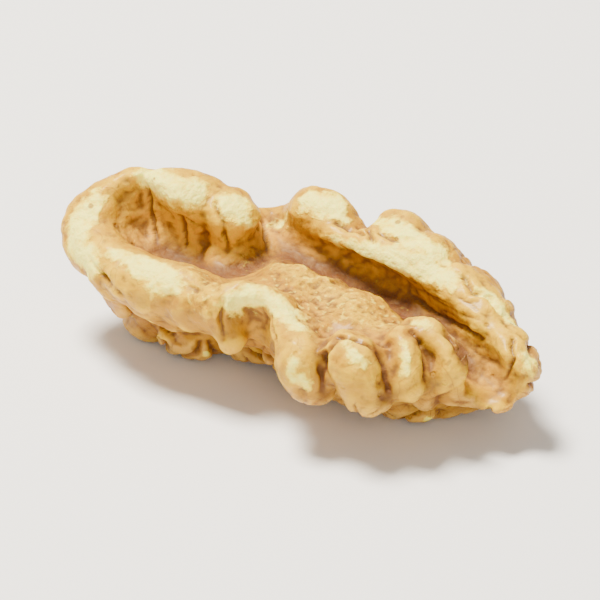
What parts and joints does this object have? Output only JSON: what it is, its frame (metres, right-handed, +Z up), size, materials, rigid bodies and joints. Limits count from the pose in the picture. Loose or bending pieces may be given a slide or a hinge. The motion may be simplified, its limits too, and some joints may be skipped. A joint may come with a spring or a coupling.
{
  "type": "walnut kernel half",
  "caption": "Shelled walnut kernel half, wrinkled like a brain on its outer side, with rolled rims, a tall back ridge and valleys on its inner side, lying with that side up.",
  "frame": {"origin": "on the surface the kernel rests on, under the middle of its bounding box", "axes": "+X along the kernel's length towards the pointed end of its taller wing, +Y towards the tall back ridge, +Z up, out of the inner side"},
  "size_m": [0.0314, 0.0152, 0.0103],
  "materials": {
    "kernel": "satin"
  },
  "bodies": {
    "root": {"kernel_half": "kernel"}
  },
  "joints": []
}
